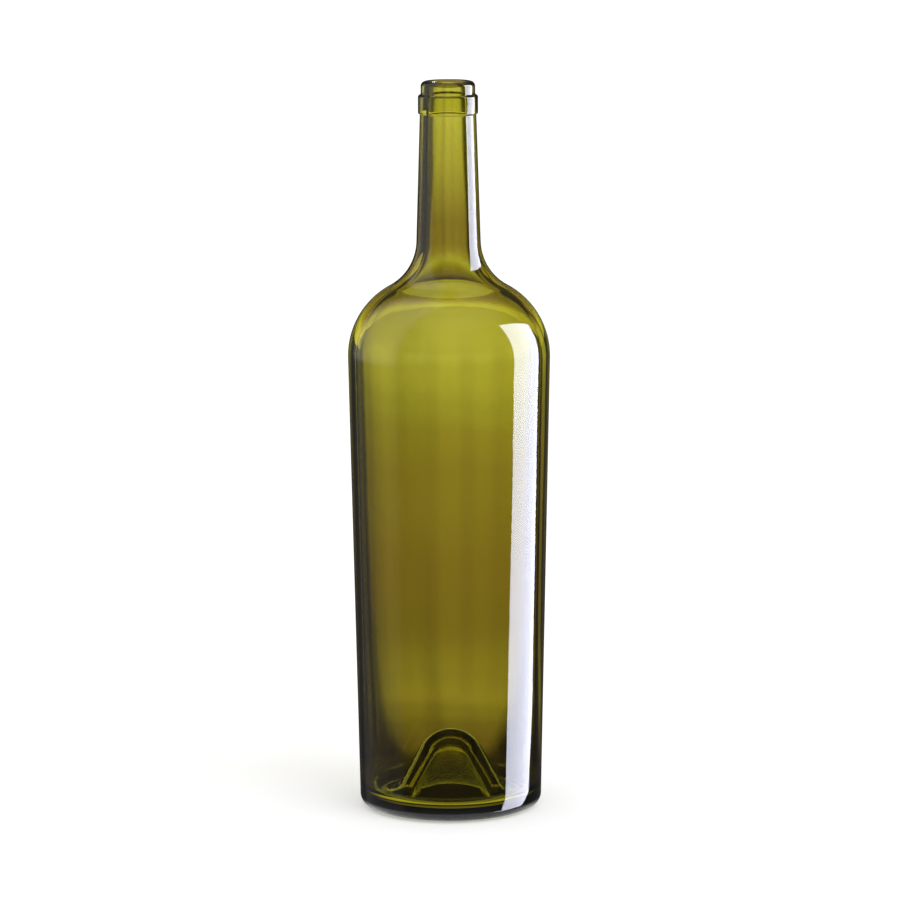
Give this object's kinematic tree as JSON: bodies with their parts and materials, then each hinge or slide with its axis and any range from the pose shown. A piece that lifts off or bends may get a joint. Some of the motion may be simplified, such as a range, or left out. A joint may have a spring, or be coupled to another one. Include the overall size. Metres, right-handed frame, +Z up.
{
  "type": "magnum wine bottle",
  "caption": "Tall tapered magnum wine bottle of olive glass, empty and unlabelled, with a banded cork finish, long neck, round shoulder and deep punt.",
  "frame": {"origin": "centre of the base, in the plane that the bearing ring stands on", "axes": "+Z up the bottle's axis to the mouth; X and Y are alike, as the bottle is round"},
  "size_m": [0.1014, 0.1014, 0.368],
  "materials": {
    "glass": "polished olive-green container glass, transparent, with faint waves and mould seams"
  },
  "bodies": {
    "root": {"bottle": "glass"}
  },
  "joints": []
}
